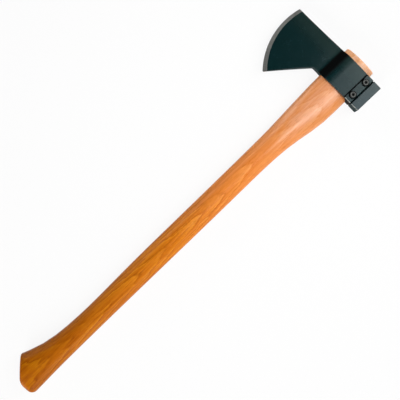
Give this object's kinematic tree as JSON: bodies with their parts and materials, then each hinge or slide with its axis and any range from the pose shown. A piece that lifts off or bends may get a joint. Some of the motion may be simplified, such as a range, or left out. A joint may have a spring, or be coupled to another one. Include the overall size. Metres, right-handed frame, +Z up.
{
  "type": "hatchet",
  "caption": "Forestry hatchet: black forged head with a flared, ground bit, a bolted-on square hammer poll and a curved hickory handle.",
  "frame": {"origin": "bottom centre of the box round the whole hatchet as it lies on its side", "axes": "+X up the handle towards the head, +Y from the hammer face towards the cutting edge, +Z up through the head's thickness, towards the side with the screw heads"},
  "size_m": [0.5378, 0.1326, 0.0328],
  "materials": {
    "head_steel": "smooth satin black with a blue-green cast; the ground bevels of the bit are bare steel",
    "poll_steel": "the same satin black",
    "screw_steel": "dark steel with a turned top",
    "washer_steel": "blackened",
    "hickory": "oiled and lacquered hickory, honey to amber, with long grain and small dark flecks"
  },
  "bodies": {
    "root": {"axe_head": "head_steel", "hammer_poll": "poll_steel", "poll_screw_upper": "screw_steel", "poll_screw_lower": "screw_steel", "poll_washer_upper": "washer_steel", "poll_washer_lower": "washer_steel", "handle": "hickory"}
  },
  "joints": []
}
